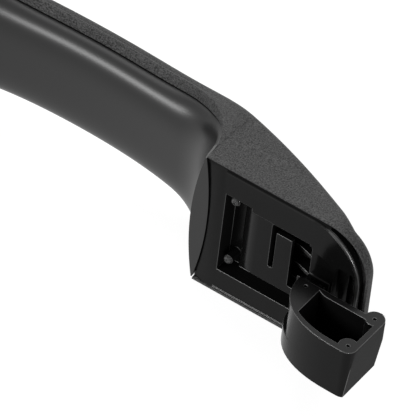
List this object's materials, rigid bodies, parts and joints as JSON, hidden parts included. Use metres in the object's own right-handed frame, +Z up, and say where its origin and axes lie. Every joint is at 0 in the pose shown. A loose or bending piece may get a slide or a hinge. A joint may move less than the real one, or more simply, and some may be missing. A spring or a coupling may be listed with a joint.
{
  "type": "exterior door handle",
  "caption": "Pull type exterior door handle: grained arched cover, smooth grip liner, recessed foot inserts, hollow gooseneck hinge hook and pull leg.",
  "frame": {"origin": "where the middle of the hinge hook's neck leaves the door plane, at the middle of the handle's width", "axes": "+X along the handle towards the hinge end, +Y out of the door towards the cover, +Z up, across the handle's width"},
  "size_m": [0.2329, 0.0574, 0.05],
  "materials": {
    "grained_plastic": "fine spark grain, matt black",
    "satin_plastic": "smooth satin black",
    "insert_plastic": "semi-gloss black, glass filled"
  },
  "bodies": {
    "root": {"outer_cover": "grained_plastic", "grip_liner": "satin_plastic", "hinge_insert": "insert_plastic", "lock_insert": "insert_plastic"}
  },
  "joints": []
}
